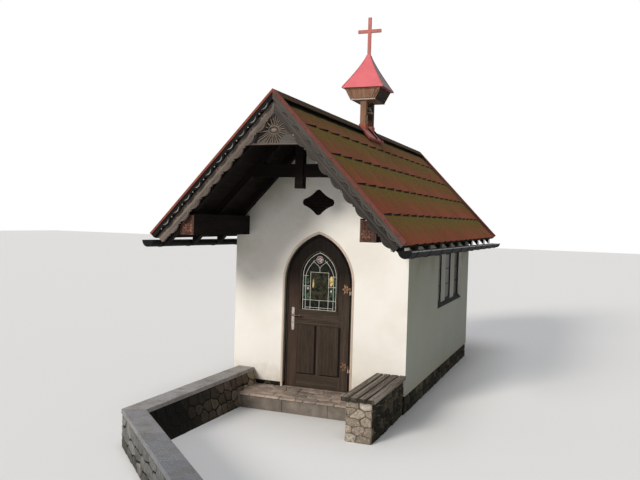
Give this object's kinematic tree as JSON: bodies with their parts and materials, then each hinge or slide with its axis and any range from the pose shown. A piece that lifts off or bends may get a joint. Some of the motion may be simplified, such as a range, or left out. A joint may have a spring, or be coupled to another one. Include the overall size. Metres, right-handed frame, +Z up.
{
  "type": "wayside chapel",
  "caption": "Small plastered chapel with a pointed door, deep front gable with carved boards, tiled roof, ridge bell turret with cross, stone bench and low terrace parapet.",
  "frame": {"origin": "middle of the walls' plan, on the ground under the floor", "axes": "+X across the door front to the visitor's right, +Y from the door to the back wall, +Z up"},
  "size_m": [3.118, 9.1525, 5.287],
  "materials": {
    "plaster": "matte, lime render, weathered",
    "rubble_stone": "rough, mortared",
    "granite": "flamed, weathered",
    "step_stone": "sawn, worn",
    "floor_stone": "sawn",
    "dark_timber": "stained, weathered",
    "grey_timber": "weathered",
    "roof_boarding": "stained",
    "bench_timber": "stained, worn",
    "door_timber": "oiled",
    "roof_tile": "matte, mossy",
    "red_sheet": "satin, weathered",
    "turret_sheet": "satin, weathered",
    "gutter_sheet": "satin",
    "window_glass": "plain",
    "door_glass": "leaded",
    "bell_metal": "cast, turned lip",
    "painted_steel": "satin, weathered",
    "iron": "forged",
    "door_brass": "patinated",
    "plate_steel": "brushed"
  },
  "bodies": {
    "chapel": {"plinth": "rubble_stone", "floor_slab": "floor_stone", "door_sill": "granite", "doorstep": "step_stone", "front_wall_left": "plaster", "front_wall_right": "plaster", "front_gable": "plaster", "gable_vent": "dark_timber", "back_wall": "plaster", "left_wall": "plaster", "right_wall": "plaster", "window_panes_left": "window_glass", "window_panes_right": "window_glass", "wall_plate_left": "dark_timber", "wall_plate_right": "dark_timber", "ridge_purlin": "dark_timber", "rafters_left": "dark_timber", "rafters_right": "dark_timber", "porch_truss": "dark_timber", "roof_boards_left": "roof_boarding", "roof_boards_right": "roof_boarding", "roof_cover_left": "roof_tile", "roof_cover_right": "roof_tile", "ridge_cap": "red_sheet", "verge_trim_front": "red_sheet", "verge_trim_rear": "red_sheet", "verge_fret_front": "dark_timber", "bargeboard_front_left": "grey_timber", "bargeboard_front_right": "grey_timber", "bargeboards_rear": "grey_timber", "gable_board": "grey_timber", "gutter_left": "gutter_sheet", "gutter_right": "gutter_sheet", "door_frame": "door_timber", "hinge_brackets": "door_brass", "turret_saddle": "turret_sheet", "turret_posts": "grey_timber", "turret_box": "grey_timber", "turret_spire": "turret_sheet", "roof_cross": "painted_steel", "bench_base": "rubble_stone", "bench_slats": "bench_timber", "parapet_wall": "rubble_stone", "parapet_coping": "granite"},
    "door": {"door_leaf": "door_timber", "door_glass": "door_glass", "lock_plates": "plate_steel", "hinge_straps": "door_brass"},
    "lever": {"door_lever": "door_brass"},
    "bell": {"bell": "bell_metal", "bell_yoke": "iron", "bell_clapper": "iron"}
  },
  "joints": [
    {"name": "door_hinge", "type": "hinge", "parent": "chapel", "child": "door", "pos_m": [0.418, -2.072, 1.18], "axis": [0, 0, 1], "range_deg": [0, 100]},
    {"name": "lever_turn", "type": "hinge", "parent": "door", "child": "lever", "pos_m": [-0.342, -2.035, 1.094], "axis": [0, 1, 0], "range_deg": [0, 45], "stiffness_Nm_per_rad": 1.6, "springref_deg": -34.38},
    {"name": "bell_swing", "type": "hinge", "parent": "chapel", "child": "bell", "pos_m": [0, -0.31, 4.029], "axis": [0, 1, 0], "range_deg": [-40, 40]}
  ]
}
